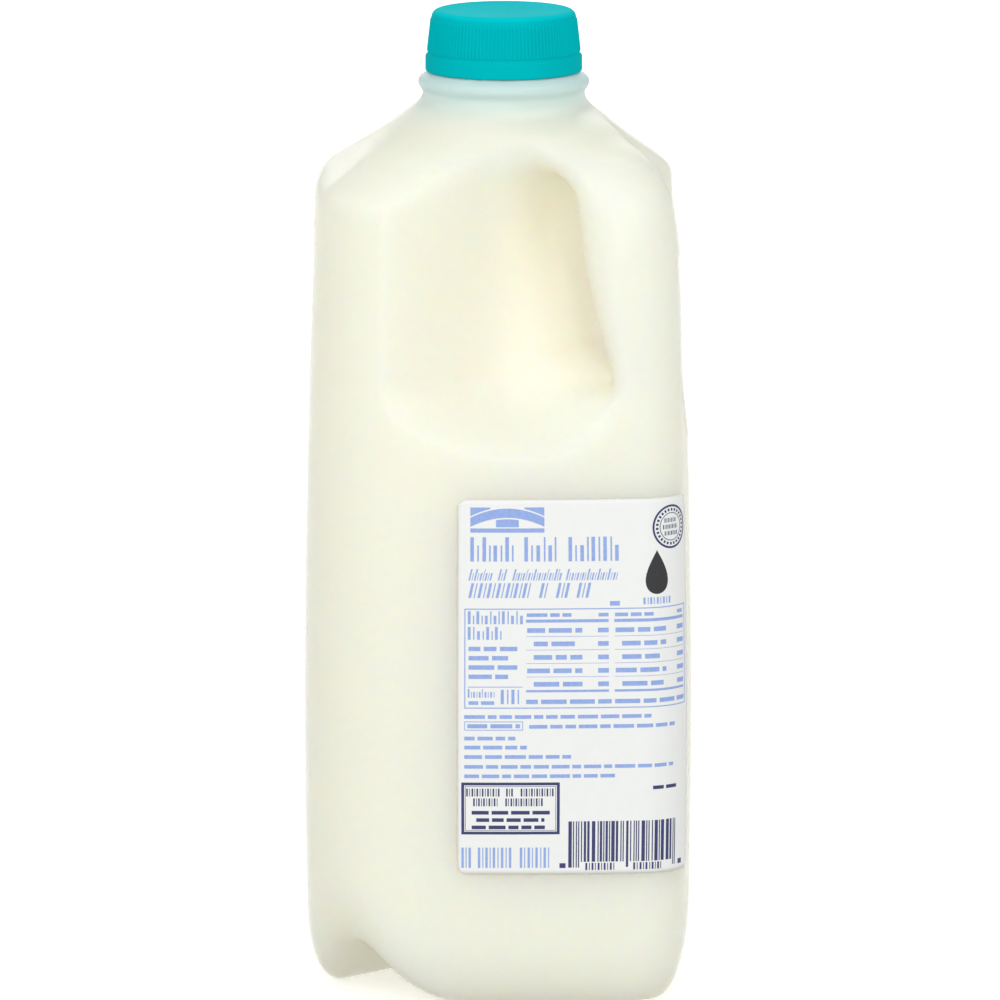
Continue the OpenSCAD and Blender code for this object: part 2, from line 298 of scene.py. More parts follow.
def grip_path(s):
    """Rows of x, z, half depth and half width down the grip, smoothed by a Catmull-Rom curve."""
    lift, arm = s.side_h - s.scoop_z, s.reach - s.dish_x
    rows = np.array([
        (s.dish_x - 9, s.neck_z - 8.4, s.arm_d * 1.05, s.grip_w * 1.16),
        (s.dish_x + arm * 0.08, s.neck_z - 9.2, s.arm_d * 1.05, s.grip_w * 1.08),
        (s.dish_x + arm * 0.30, s.neck_z - 12.4, s.arm_d * 1.05, s.grip_w),
        (s.dish_x + arm * 0.48, s.neck_z - 17.2, s.arm_d * 1.35, s.grip_w),
        (s.dish_x + arm * 0.575, s.neck_z - 24.2, s.grip_d * 0.95, s.grip_w),
        (s.dish_x + arm * 0.61, s.scoop_z + lift * 0.88, s.grip_d, s.grip_w),
        (s.dish_x + arm * 0.65, s.scoop_z + lift * 0.75, s.grip_d * 0.98, s.grip_w),
        (s.dish_x + arm * 0.722, s.scoop_z + lift * 0.57, s.grip_d * 0.88, s.grip_w * 0.94),
        (s.dish_x + arm * 0.79, s.scoop_z + lift * 0.36, s.grip_d * 0.74, s.grip_w * 0.84),
        (s.dish_x + arm * 0.80, s.scoop_z + lift * 0.19, s.grip_d * 0.72, s.grip_w * 0.88),
        (s.dish_x + arm * 0.78, s.scoop_z + lift * 0.05, s.grip_d * 0.78, s.grip_w * 1.0),
        (s.dish_x + arm * 0.68, s.scoop_z - lift * 0.12, s.grip_d * 0.8, s.grip_w * 1.0)])
    rows[:, 2:] /= 2
    p = np.vstack([2 * rows[0] - rows[1], rows, 2 * rows[-1] - rows[-2]])
    t = np.linspace(0, len(rows) - 1 - 1e-9, 90)
    i = t.astype(int)
    t = (t - i)[:, None]
    p0, p1, p2, p3 = p[i], p[i + 1], p[i + 2], p[i + 3]
    return 0.5 * (2 * p1 + (p2 - p0) * t + (2 * p0 - 5 * p1 + 4 * p2 - p3) * t ** 2
                  + (3 * p1 - p0 - 3 * p2 + p3) * t ** 3)


def grip_field(s, x, y, z):
    """Signed distance to the grip: an oval of the half depth and half width at the nearest point of the path."""
    shape = np.broadcast(x, z).shape
    px, pz = np.broadcast_arrays(x, z)
    flat = np.stack([px.ravel(), pz.ravel()], 1)
    near = np.empty(len(flat), int)
    for k in range(0, len(flat), 20000):
        block = flat[k:k + 20000]
        near[k:k + 20000] = ((block[:, None, :] - s.path[None, :, :2]) ** 2).sum(2).argmin(1)
    row, run = s.path[near], s.run[near]
    along = ((flat - row[:, :2]) * run[:, :2]).sum(1) / (run[:, :2] ** 2).sum(1)
    row = row + np.clip(along, -0.6, 0.6)[:, None] * run
    u = np.hypot(flat[:, 0] - row[:, 0], flat[:, 1] - row[:, 1]).reshape(shape)
    a, b = row[:, 2].reshape(shape), row[:, 3].reshape(shape)
    q = np.sqrt((u / a) ** 2 + (y / b) ** 2)
    g = np.sqrt((u / a ** 2) ** 2 + (y / b ** 2) ** 2)
    return np.maximum((q - 1) * q / np.maximum(g, 1e-3), -np.minimum(a, b))


# ---------------------------------------------------------------- one field for the whole bottle

def neck_field(s, x, y, z):
    """Signed distance to the neck: a plain tube, a round bead, a ledge up to the cap, and the finish inside it."""
    r = np.hypot(x - s.neck_x, y)
    b = s.neck_z + s.bead_h - 2.2
    tube = np.maximum(r - s.neck_r, np.maximum(s.neck_z - 6 - z, z - b))
    bead = np.hypot(np.maximum(r - s.bead_d / 2 + 1.9, 0), z - b) - 1.9
    ledge = np.maximum(r - s.band_d / 2 + 0.5, np.maximum(b - z, z - s.cap_z + 0.15))
    finish = np.maximum(r - s.finish_d / 2, b - 1 - z)
    return soft_min(soft_min(soft_min(tube, bead, 1.2), ledge, 1.6), finish, 0.6)


def bottle_raw(s, x, y, z):
    """The body alone as one field, negative within: side, rounded heel (a superellipse of power 2.2), base and
    channel, cut off level at the neck."""
    a, r = np.arctan2(y, x), np.hypot(x, y)
    lift = arch(s, x)
    low = np.where(z < 50, (z - lift) / (1 - lift / 50), z)
    plain = skin(s, a, np.maximum(low, 0), heel=False)
    share = np.clip(r / np.maximum(plain - s.heel_in, 1), 0, 1)
    under = np.maximum(lift, s.base_dome * np.maximum(1 - (share / 0.84) ** 2, 0))
    p = 2.2
    q1 = np.maximum((r - plain) / s.heel_in + 1, 0)
    q2 = np.maximum((under - z) / s.heel_h + 1, 0)
    side = r - plain
    heel = ((q1 ** p + q2 ** p) ** (1 / p) - 1) * s.heel_in
    body = np.where((q1 > 0) & (q2 > 0), heel, np.maximum(side, (under - z) * 0.4))
    body = np.where(low > s.heel_h, side, body)
    # the shoulder slopes, so its radial gap is scaled down to a true distance
    tilt = 1 - 0.38 * smooth((z - s.side_h + 8) / 10)
    return soft_max(body * tilt, z - s.neck_z, 1.0)


def bottle_field(s, x, y, z):
    """Body, grip and neck joined with fillets; the fillet fades out toward the label and up the neck."""
    body = bottle_raw(s, x, y, z)
    fillet = s.blend * smooth((z - s.scoop_z + 3) / 12) * (1 - 0.85 * smooth((z - s.neck_z + 7) / 7))
    whole = soft_min(body, grip_field(s, x, y, z), np.broadcast_to(fillet, body.shape))
    # the fillet never bulges past the plain corner
    plain = np.hypot(x, y) - outline(s, np.abs(np.arctan2(y, x))) * barrel(s, z)
    whole = soft_max(whole, plain - 60 * smooth((z - s.side_h + 16) / 12), 0.8)
    return soft_min(whole, neck_field(s, x, y, z), 2.5)


def shelter(s, verts):
    """How deep points lie in the finger gap, 0 to 1: smooth((d - 9) / 11), with d the millimetres inside the plain
    outline, faded out at the gap's two ends and from 26 to 58 degrees round from the grip; the mask of the painted
    light there."""
    x, y, z = verts.T
    a = np.abs(np.arctan2(y, x))
    d = outline(s, a) * barrel(s, z) - np.hypot(x, y)
    ends = smooth((z - s.scoop_z - 6) / 16) * smooth((s.hole_top + 7 - z) / 8) * smooth((58 - np.degrees(a)) / 32)
    return smooth((d - 9) / 11) * ends


def slope_of(field, v):
    """Value and gradient of a field at points, by central differences 0.05 mm apart."""
    e = 0.05
    g = np.stack([(field(*(v + d).T) - field(*(v - d).T)) / (2 * e) for d in np.eye(3) * e], 1)
    return field(*v.T), g


def plan_grid(s, h):
    """Grid lines across the jug both ways, at a spacing h."""
    r, w = s.reach + 4, s.half_w * math.sqrt(2) - 2
    return steps((-r, r, h)), steps((-w, w, h))


def surface_net(field, xs, ys, zs):
    """The zero surface of a field sampled on a box grid: one point for each cell that the surface crosses, at
    the mean of its edge crossings, and one four-sided face round each grid edge that it crosses."""
    axes = (xs, ys, zs)
    grid = np.meshgrid(*axes, indexing="ij", sparse=True)
    f = field(*grid)
    shape = tuple(n - 1 for n in f.shape)
    total, count = np.zeros(shape + (3,)), np.zeros(shape)

    def span(ax, a, b, rest=slice(None)):
        """Index from a to b along one axis, and rest along the others."""
        return tuple(slice(a, b) if k == ax else rest for k in range(3))

    for ax in range(3):
        fa, fb = f[span(ax, 0, -1)], f[span(ax, 1, None)]
        cross = (fa < 0) != (fb < 0)
        t = np.where(cross, fa / np.where(cross, fa - fb, 1), 0)
        step = np.diff(axes[ax]).reshape([-1 if k == ax else 1 for k in range(3)])
        point = [grid[k][span(ax, 0, -1)] + t * step if k == ax else np.broadcast_to(grid[k], cross.shape)
                 for k in range(3)]
        point = np.stack(np.broadcast_arrays(*point), -1)
        u, v = [k for k in range(3) if k != ax]
        for du in (0, 1):
            for dv in (0, 1):
                cell = [slice(None)] * 3
                cell[u], cell[v] = slice(du, du + shape[u]), slice(dv, dv + shape[v])
                c = cross[tuple(cell)]
                count += c
                total += point[tuple(cell)] * c[..., None]
    live = count > 0
    index = np.full(shape, -1)
    index[live] = np.arange(live.sum())
    verts = total[live] / count[live][:, None]
    faces = []
    for ax in range(3):
        u, v = (ax + 1) % 3, (ax + 2) % 3
        fa, fb = f[span(ax, 0, -1, slice(1, -1))] < 0, f[span(ax, 1, None, slice(1, -1))] < 0
        where = np.argwhere(fa != fb)
        corner = []
        for du, dv in ((0, 0), (1, 0), (1, 1), (0, 1)):
            c = where.copy()
            c[:, u] += du
            c[:, v] += dv
            corner.append(index[tuple(c.T)])
        quad = np.stack(corner, 1)
        faces.append(np.where(fa[tuple(where.T)][:, None], quad, quad[:, ::-1]))
    return verts, np.vstack(faces)


def settle(field, verts, rounds=3):
    """Moves points onto the field's zero surface by Newton steps, v - f g / |g|^2, of at most the gradient."""
    for _ in range(rounds):
        value, g = slope_of(field, verts)
        move = value / np.maximum((g ** 2).sum(1), 0.05)
        verts = verts - np.clip(move, -1, 1)[:, None] * g
    return verts


def steps(*spans):
    """Grid lines: spans of (start, end, spacing) laid end to end."""
    out = [np.linspace(a, b, max(int(round((b - a) / h)), 1) + 1)[:-1] for a, b, h in spans]
    return np.append(np.concatenate(out), spans[-1][1])


# ---------------------------------------------------------------- meshes and materials

def add_mesh(name, verts, faces, materials=(), face_material=None, uv=None, smooth_shaded=True, sheltered=None):
    """A new object at the origin from whole arrays, in millimetres, with optional UVs and shelter per point."""
    mesh = bpy.data.meshes.new(name)
    mesh.from_pydata((np.asarray(verts) * MM).tolist(), [], faces if isinstance(faces, list) else faces.tolist())
    mesh.update()
    if smooth_shaded:
        mesh.polygons.foreach_set("use_smooth", np.ones(len(mesh.polygons), bool))
    if uv is not None:
        layer = mesh.uv_layers.new(name="UVMap")
        loops = np.empty(len(mesh.loops), int)
        mesh.loops.foreach_get("vertex_index", loops)
        layer.data.foreach_set("uv", np.asarray(uv)[loops].ravel().astype(float))
    if sheltered is not None:
        mesh.attributes.new("shelter", "FLOAT", "POINT").data.foreach_set("value", np.asarray(sheltered, np.float32))
    for m in materials:
        mesh.materials.append(m)
    if face_material is not None:
        mesh.polygons.foreach_set("material_index", np.asarray(face_material, np.int32))
    obj = bpy.data.objects.new(name, mesh)
    bpy.context.scene.collection.objects.link(obj)
    return obj


def grid_faces(n, m, closed=False, offset=0):
    """Faces of an n by m grid of points, closed round the second way if asked."""
    i, j = np.meshgrid(np.arange(n - 1), np.arange(m if closed else m - 1), indexing="ij")
    k = (j + 1) % m
    q = np.stack([i * m + j, i * m + k, (i + 1) * m + k, (i + 1) * m + j], -1)
    return q.reshape(-1, 4) + offset


def node(tree, kind, settings=(), links=(), **attrs):
    """One shader node: its attributes, its socket values, and links as (input, from node, from output)."""
    n = tree.nodes.new(kind)
    for key, value in attrs.items():
        setattr(n, key, value)
    for key, value in dict(settings).items():
        n.inputs[key].default_value = value
    for key, source, output in links:
        tree.links.new(source.outputs[output], n.inputs[key])
    return n


def blank(name):
    """A new material and its empty node tree."""
    m = bpy.data.materials.new(name)
    m.use_nodes = True
    m.node_tree.nodes.clear()
    return m, m.node_tree


def rgba(c):
    """A colour with full alpha."""
    return (*tuple(c)[:3], 1.0)


def stops(ramp, *pairs):
    """Sets a colour ramp's stops from (position, colour) pairs."""
    el = ramp.color_ramp.elements
    while len(el) < len(pairs):
        el.new(0.5)
    for e, (pos, c) in zip(el, pairs):
        e.position, e.color = pos, rgba(c)
    return ramp


def painted_gap_light(tree):
    """Painted light: an emission strength, shelter times the greatest strength, that lightens the shade in the finger
    gap, standing in for the light that milk carries through the jug into it, which bounces alone lose."""
    deep = node(tree, "ShaderNodeAttribute", attribute_name="shelter")
    return node(tree, "ShaderNodeMapRange", {"To Max": PAINTED_LIGHT_MAX}, [("Value", deep, "Fac")])


def blown_polyethylene(c, s):
    """Natural high-density polyethylene, extrusion blow-moulded: milky, half see-through, satin, with the faint
    orange-peel of the mould. Where no milk backs the wall it looks cooler and greyer."""
    m, t = blank("natural_hdpe_blow_moulded")
    co = node(t, "ShaderNodeTexCoord")
    xyz = node(t, "ShaderNodeSeparateXYZ", links=[("Vector", co, "Object")])
    level = node(t, "ShaderNodeMapRange", {"From Min": (s.fill_z - 4) * MM, "From Max": (s.fill_z + 6) * MM},
                 [("Value", xyz, "Z")], interpolation_type="SMOOTHSTEP")
    tone = stops(node(t, "ShaderNodeValToRGB", links=[("Fac", level, "Result")]),
                 (0.0, c.bottle), (1.0, c.bottle_clear))
    # orange-peel 2.4 mm across, drawn coarser than the real one so that it shows, and a slow drift of 38 mm
    peel = node(t, "ShaderNodeTexNoise", {"Scale": 420.0, "Detail": 2.0, "Roughness": 0.5}, [("Vector", co, "Object")])
    flow = node(t, "ShaderNodeTexNoise", {"Scale": 26.0, "Detail": 3.0, "Roughness": 0.55}, [("Vector", co, "Object")])
    patch = node(t, "ShaderNodeMapRange", {"To Min": 0.98, "To Max": 1.0}, [("Value", flow, "Fac")])
    shade = node(t, "ShaderNodeVectorMath", links=[("Vector", tone, "Color"), ("Scale", patch, "Result")],
                 operation="SCALE")
    rough = node(t, "ShaderNodeMapRange", {"To Min": 0.30, "To Max": 0.42}, [("Value", peel, "Fac")])
    bump = node(t, "ShaderNodeBump", {"Strength": 0.08, "Distance": 0.0002}, [("Height", peel, "Fac")])
    body = node(t, "ShaderNodeMapRange", {"From Min": (s.fill_z - 13) * MM, "From Max": (s.fill_z + 1) * MM,
                                          "To Min": 0.32, "To Max": 0.8}, [("Value", xyz, "Z")],
                interpolation_type="SMOOTHSTEP")
    # painted light: emission masked by shelter lightens the shade in the finger gap
    p = node(t, "ShaderNodeBsdfPrincipled", {"IOR": 1.54, "Specular IOR Level": 0.4, "Emission Color": rgba(c.painted_light_tint)},
             [("Base Color", shade, "Vector"), ("Roughness", rough, "Result"), ("Normal", bump, "Normal"),
              ("Alpha", body, "Result"), ("Emission Strength", painted_gap_light(t), "Result")])
    node(t, "ShaderNodeOutputMaterial", links=[("Surface", p, "BSDF")])
    return m


def wetted_inside(c):
    """Inside face of the blown wall: wet with milk, so that it hardly shows as a surface of its own."""
    m, t = blank("natural_hdpe_inside")
    co = node(t, "ShaderNodeTexCoord")
    # patches of film 25 mm across
    film = node(t, "ShaderNodeTexNoise", {"Scale": 40.0, "Detail": 1.0}, [("Vector", co, "Object")])
    thin = node(t, "ShaderNodeMapRange", {"To Min": 0.03, "To Max": 0.07}, [("Value", film, "Fac")])
    p = node(t, "ShaderNodeBsdfPrincipled", {"Base Color": rgba(c.bottle), "Roughness": 0.4, "IOR": 1.2},
             [("Alpha", thin, "Result")])
    node(t, "ShaderNodeOutputMaterial", links=[("Surface", p, "BSDF")])
    return m


def whole_milk(c):
    """Milk, homogenised: an opaque warm white that light enters a little way, wet and smooth."""
    m, t = blank("homogenised_milk")
    co = node(t, "ShaderNodeTexCoord")
    # very faint clouding 70 mm across
    cloud = node(t, "ShaderNodeTexNoise", {"Scale": 14.0, "Detail": 2.0}, [("Vector", co, "Object")])
    tone = stops(node(t, "ShaderNodeValToRGB", links=[("Fac", cloud, "Fac")]),
                 (0.3, np.array(c.milk) * 0.985), (0.7, c.milk))
    # painted light: emission masked by shelter lightens the shade in the finger gap
    p = node(t, "ShaderNodeBsdfPrincipled", {"IOR": 1.35, "Roughness": 0.22, "Subsurface Weight": 1.0,
                                             "Subsurface Radius": (1.0, 0.65, 0.3), "Subsurface Scale": 0.045,
                                             "Emission Color": rgba(c.painted_light_tint)},
             [("Base Color", tone, "Color"), ("Emission Strength", painted_gap_light(t), "Result")])
    node(t, "ShaderNodeOutputMaterial", links=[("Surface", p, "BSDF")])
    return m


def moulded_polypropylene(c, s):
    """Polypropylene, injection-moulded: an even teal with a low satin shine and a fine grain on the top, with painted
    shade darkening the skirt so that the top face reads as lit from above.
    """
    m, t = blank("teal_polypropylene_injection_moulded")
    co = node(t, "ShaderNodeTexCoord")
    # moulded grain 1.1 mm across, drawn coarser than the real one so that it shows, and a drift of 17 mm
    grain = node(t, "ShaderNodeTexNoise", {"Scale": 900.0, "Detail": 2.0}, [("Vector", co, "Object")])
    drift = node(t, "ShaderNodeTexNoise", {"Scale": 60.0, "Detail": 1.0}, [("Vector", co, "Object")])
    tone = stops(node(t, "ShaderNodeValToRGB", links=[("Fac", drift, "Fac")]),
                 (0.3, np.array(c.cap) * 0.94), (0.7, c.cap))
    # painted light and shade: the colour is darkened to 0.82 below the top's last 1.3 mm, so the top face reads
    # lighter than the skirt, as if lit from above
    xyz = node(t, "ShaderNodeSeparateXYZ", links=[("Vector", co, "Object")])
    top = (s.cap_z + s.cap_h) * MM
    crown = node(t, "ShaderNodeMapRange", {"From Min": top - 1.3 * MM, "From Max": top - 0.2 * MM,
                                           "To Min": 0.82, "To Max": 1.0}, [("Value", xyz, "Z")],
                 interpolation_type="SMOOTHSTEP")
    shade = node(t, "ShaderNodeVectorMath", links=[("Vector", tone, "Color"), ("Scale", crown, "Result")],
                 operation="SCALE")
    rough = node(t, "ShaderNodeMapRange", {"To Min": 0.5, "To Max": 0.65}, [("Value", grain, "Fac")])
    bump = node(t, "ShaderNodeBump", {"Strength": 0.1, "Distance": 0.0001}, [("Height", grain, "Fac")])
    p = node(t, "ShaderNodeBsdfPrincipled", {"IOR": 1.49, "Specular IOR Level": 0.006},
             [("Base Color", shade, "Vector"), ("Roughness", rough, "Result"), ("Normal", bump, "Normal")])
    node(t, "ShaderNodeOutputMaterial", links=[("Surface", p, "BSDF")])
    return m


def label_film(c):
    """White polypropylene label film, calendered: even, cool white, with a soft sheen."""
    m, t = blank("white_label_film")
    co = node(t, "ShaderNodeTexCoord")
    # calender mottle 3.3 mm across, drawn coarse so that it shows
    calender = node(t, "ShaderNodeTexNoise", {"Scale": 300.0, "Detail": 3.0}, [("Vector", co, "Object")])
    tone = stops(node(t, "ShaderNodeValToRGB", links=[("Fac", calender, "Fac")]),
                 (0.3, np.array(c.film) * 0.98), (0.7, c.film))
    rough = node(t, "ShaderNodeMapRange", {"To Min": 0.45, "To Max": 0.6}, [("Value", calender, "Fac")])
    p = node(t, "ShaderNodeBsdfPrincipled", {"IOR": 1.5, "Specular IOR Level": 0.3},
             [("Base Color", tone, "Color"), ("Roughness", rough, "Result")])
    node(t, "ShaderNodeOutputMaterial", links=[("Surface", p, "BSDF")])
    return m


def printed_ink(name, colour):
    """Flexographic ink on film: a thin flat colour, slightly mottled, under the film's own sheen."""
    m, t = blank(name)
    co = node(t, "ShaderNodeTexCoord")
    # ink mottle 0.8 mm across
    mottle = node(t, "ShaderNodeTexNoise", {"Scale": 1200.0, "Detail": 2.0}, [("Vector", co, "Object")])
    tone = stops(node(t, "ShaderNodeValToRGB", links=[("Fac", mottle, "Fac")]),
                 (0.35, np.array(colour) * 0.94), (0.65, np.minimum(np.array(colour) * 1.06, 1)))
    p = node(t, "ShaderNodeBsdfPrincipled", {"IOR": 1.5, "Roughness": 0.5}, [("Base Color", tone, "Color")])
    node(t, "ShaderNodeOutputMaterial", links=[("Surface", p, "BSDF")])
    return m


def studio_floor(c):
    """Matt white painted sheet: pale and even, bright enough to read as a clean studio sweep."""
    m, t = blank("white_studio_sheet")
    co = node(t, "ShaderNodeTexCoord")
    # drift of tone 330 mm across
    soft = node(t, "ShaderNodeTexNoise", {"Scale": 3.0, "Detail": 1.0}, [("Vector", co, "Object")])
    tone = stops(node(t, "ShaderNodeValToRGB", links=[("Fac", soft, "Fac")]),
                 (0.0, np.array(c.floor) * 0.99), (1.0, c.floor))
    p = node(t, "ShaderNodeBsdfPrincipled", {"Roughness": 0.9, "Emission Color": (1, 1, 1, 1),
                                             "Emission Strength": 0.38}, [("Base Color", tone, "Color")])
    node(t, "ShaderNodeOutputMaterial", links=[("Surface", p, "BSDF")])
    return m


# ---------------------------------------------------------------- the pieces

class JUG_OT_bottle(Operator):
    """Blows the bottle: body, dish, hollow grip and neck as one skin with a wall"""
    bl_idname = "jug.bottle"
    bl_label = "Bottle"

    def execute(self, context):
        s = jug_sizes(context.scene)
        h = 1.75
        xs, ys = plan_grid(s, h)
        zs = steps((-2.5, s.neck_z - 4, h), (s.neck_z - 4, s.rim_z, 0.55 if h < 2 else 0.9))
        field = lambda x, y, z: bottle_field(s, x, y, z)
        verts, faces = surface_net(field, xs, ys, zs)
        verts = settle(field, verts)
        c = context.scene.jug_colours
        obj = add_mesh("bottle_shell", verts, faces, [blown_polyethylene(c, s), wetted_inside(c)],
                       sheltered=shelter(s, verts))
        wall = obj.modifiers.new("wall", "SOLIDIFY")
        wall.thickness, wall.offset, wall.material_offset = s.wall * MM, -1, 1
        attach(obj, "root")
        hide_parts("bottle")
        return {"FINISHED"}


class JUG_OT_milk(Operator):
    """Fills the bottle and its grip with milk up to the level"""
    bl_idname = "jug.milk"
    bl_label = "Milk"

    def execute(self, context):
        s = jug_sizes(context.scene)
        h = 2.0
        xs, ys = plan_grid(s, h)
        zs = steps((-2.5, s.neck_z - 8, h), (s.neck_z - 8, s.fill_z + 2, 1.1))

        def inside(x, y, z):
            """The bottle's field, cut off at the level."""
            f = bottle_field(s, x, y, z)
            return np.maximum(f, np.broadcast_to(z - s.fill_z, f.shape))

        verts, faces = surface_net(inside, xs, ys, zs)
        verts = settle(inside, verts)
        # moved in to the middle of the wall: v - 0.7 wall n, fading out across the level's own face
        value, g = slope_of(lambda x, y, z: bottle_field(s, x, y, z), verts)
        g /= np.maximum(np.linalg.norm(g, axis=1, keepdims=True), 1e-6)
        verts = verts - 0.7 * s.wall * g * np.clip(1 + value / 2, 0, 1)[:, None]
        obj = add_mesh("milk_fill", verts, faces, [whole_milk(context.scene.jug_colours)],
                       sheltered=shelter(s, verts))
        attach(obj, "root")
        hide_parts("milk")
        return {"FINISHED"}


def turned(profile, n, ridge=None):
    """A profile of (radius, height) carried round Z in n steps; ridge gives a radius to add at each angle,
    weighted by the profile's third column."""
    a = np.arange(n) * 2 * math.pi / n
    extra = np.zeros(n) if ridge is None else ridge(a)
    r = profile[:, :1] + profile[:, 2:3] * extra[None, :]
    return np.stack([r * np.cos(a), r * np.sin(a), np.repeat(profile[:, 1:2], n, 1)], -1).reshape(-1, 3)


def fillet(cx, cz, r, a0, a1, n):
    """Points round an arc of the profile, with no ridge."""
    t = np.radians(np.linspace(a0, a1, n))
    return [(cx + r * math.cos(k), cz + r * math.sin(k), 0.0) for k in t]


class JUG_OT_cap(Operator):
    """Moulds the screw cap: flat top, ribbed skirt and plain tamper band"""
    bl_idname = "jug.cap"
    bl_label = "Cap"

    def execute(self, context):
        s = jug_sizes(context.scene)
        r, top, z0 = s.cap_d / 2 - s.rib_d, s.cap_z + s.cap_h, s.cap_z
        zb, bore = z0 + s.band_h, s.finish_d / 2 + 0.4
        br = s.band_d / 2
        ribs_from, ribs_to = zb + 0.75, top - 2.15
        tr = r - s.draft
        p = [(0.01, top - 0.12, 0), (tr - 4.4, top - 0.12, 0), (tr - 3.8, top - 0.05, 0), (tr - 3.2, top, 0),
             (tr - 2.6, top, 0)]
        p += fillet(tr - 1.9, top - 1.9, 1.9, 90, 8, 10)
        p += [(tr, ribs_to + 0.15, 0.0), (tr, ribs_to, 0.25), (tr, ribs_to - 0.3, 0.85), (tr, ribs_to - 0.6, 1.0)]
        p += [(tr + s.draft * k / 8, lerp(ribs_to - 0.6, ribs_from + 0.5, k / 8), 1.0) for k in range(1, 9)]
        p += [(r + 0.02, ribs_from + 0.2, 0.85), (r + 0.02, ribs_from, 0.3), (r + 0.02, ribs_from - 0.12, 0)]
        p += [(r + 0.02, zb + 0.42, 0), (r + 0.08, zb + 0.3, 0), (br - 0.28, zb - 0.02, 0), (br - 0.1, zb - 0.2, 0)]
        p += fillet(br - 0.35, zb - 0.5, 0.35, 40, 0, 4)
        p += [(br, z0 + 2.2, 0), (br, z0 + 1.0, 0)]
        p += fillet(br - 0.4, z0 + 0.4, 0.4, 0, -90, 5)
        p += [(bore + 0.4, z0, 0), (bore, z0 + 0.4, 0), (bore, zb, 0), (bore, s.rim_z - 1, 0), (bore, s.rim_z, 0),
              (bore - 1, s.rim_z, 0), (0.01, s.rim_z, 0)]
        profile = np.array(p, float)
        n = s.ribs * 8

        def ridge(a):
            """Rounded ribs: a raised cosine sharpened at its root, one for each rib."""
            w = 0.5 + 0.5 * np.cos(a * s.ribs)
            return s.rib_d * w ** 0.8

        verts = turned(profile, n, ridge) + np.array([s.neck_x, 0, 0])
        faces = grid_faces(len(profile), n, closed=True)[:, ::-1]
        m = len(verts)
        verts = np.vstack([verts, [[s.neck_x, 0, top - 0.12], [s.neck_x, 0, s.rim_z]]])
        j = np.arange(n)
        k = (j + 1) % n
        first = np.stack([np.full(n, m), j, k], 1)
        last = np.stack([np.full(n, m + 1), (len(profile) - 1) * n + k, (len(profile) - 1) * n + j], 1)
        obj = add_mesh("cap_shell", verts, faces.tolist() + first.tolist() + last.tolist(),
                       [moulded_polypropylene(context.scene.jug_colours, s)])
        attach(obj, "root")
        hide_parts("cap")
        return {"FINISHED"}


def label_frame(s):
    """Ties the label's own width to angle: arc length along the body at mid height, and the full width."""
    a = np.linspace(s.label_from, s.label_to, 600)
    z = s.label_z + s.label_h / 2
    r = skin(s, a, np.full_like(a, z))
    p = np.stack([r * np.cos(a), r * np.sin(a)], 1)
    u = np.concatenate([[0], np.cumsum(np.linalg.norm(np.diff(p, axis=0), axis=1))])
    return a, u


def on_label(s, u, v, lift):
    """Point on the body's side at u across and v up the label, raised by lift along the surface's normal."""
    a_of, u_of = label_frame(s)

    def at(uu, vv):
        a = np.interp(uu, u_of, a_of)
        z = s.label_z + vv
        r = skin(s, a, z)
        return np.stack([r * np.cos(a), r * np.sin(a), z], -1)

    e = 0.2
    low = np.clip(u - e, u_of[0], u_of[-1])
    high = np.clip(u + e, u_of[0], u_of[-1])
    along, up = at(high, v) - at(low, v), at(u, v + e) - at(u, v - e)
    normal = np.cross(along, up)
    normal /= np.linalg.norm(normal, axis=-1, keepdims=True)
    return at(u, v) + normal * lift


class JUG_OT_label(Operator):
    """Lays the label film round the handle corner"""
    bl_idname = "jug.label"
    bl_label = "Label"

    def execute(self, context):
        s = jug_sizes(context.scene)
        width = label_frame(s)[1][-1]
        t = np.linspace(0, 1, 61)
        v = (s.label_h * (0.5 - 0.5 * np.cos(math.pi * t)) * 0.3 + s.label_h * t * 0.7)[:, None]
        # corners rounded to 1.5 mm by drawing in the rows near each end
        c = 1.5
        d = np.clip(c - np.minimum(v, s.label_h - v), 0, c)
        inset = c - np.sqrt(c * c - d * d)
        u = inset + (width - 2 * inset) * np.linspace(0, 1, 81)[None, :]
        v = np.broadcast_to(v, u.shape)
        front = on_label(s, u, v, 0.02 + s.label_t).reshape(-1, 3)
        back = on_label(s, u, v, 0.02).reshape(-1, 3)
        n, m = u.shape
        faces = [grid_faces(n, m), grid_faces(n, m, offset=n * m)[:, ::-1]]
        ring = np.concatenate([np.arange(m), np.arange(1, n) * m + m - 1,
                               (n - 1) * m + np.arange(m - 2, -1, -1), np.arange(n - 2, 0, -1) * m])
        nxt = np.roll(ring, -1)
        faces.append(np.stack([ring, ring + n * m, nxt + n * m, nxt], 1))
        uv = np.stack([u.ravel() / width, v.ravel() / s.label_h], 1)
        obj = add_mesh("label_sheet", np.vstack([front, back]), np.vstack(faces),
                       [label_film(context.scene.jug_colours)], uv=np.vstack([uv, uv]))
        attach(obj, "root")
        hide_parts("label")
        return {"FINISHED"}


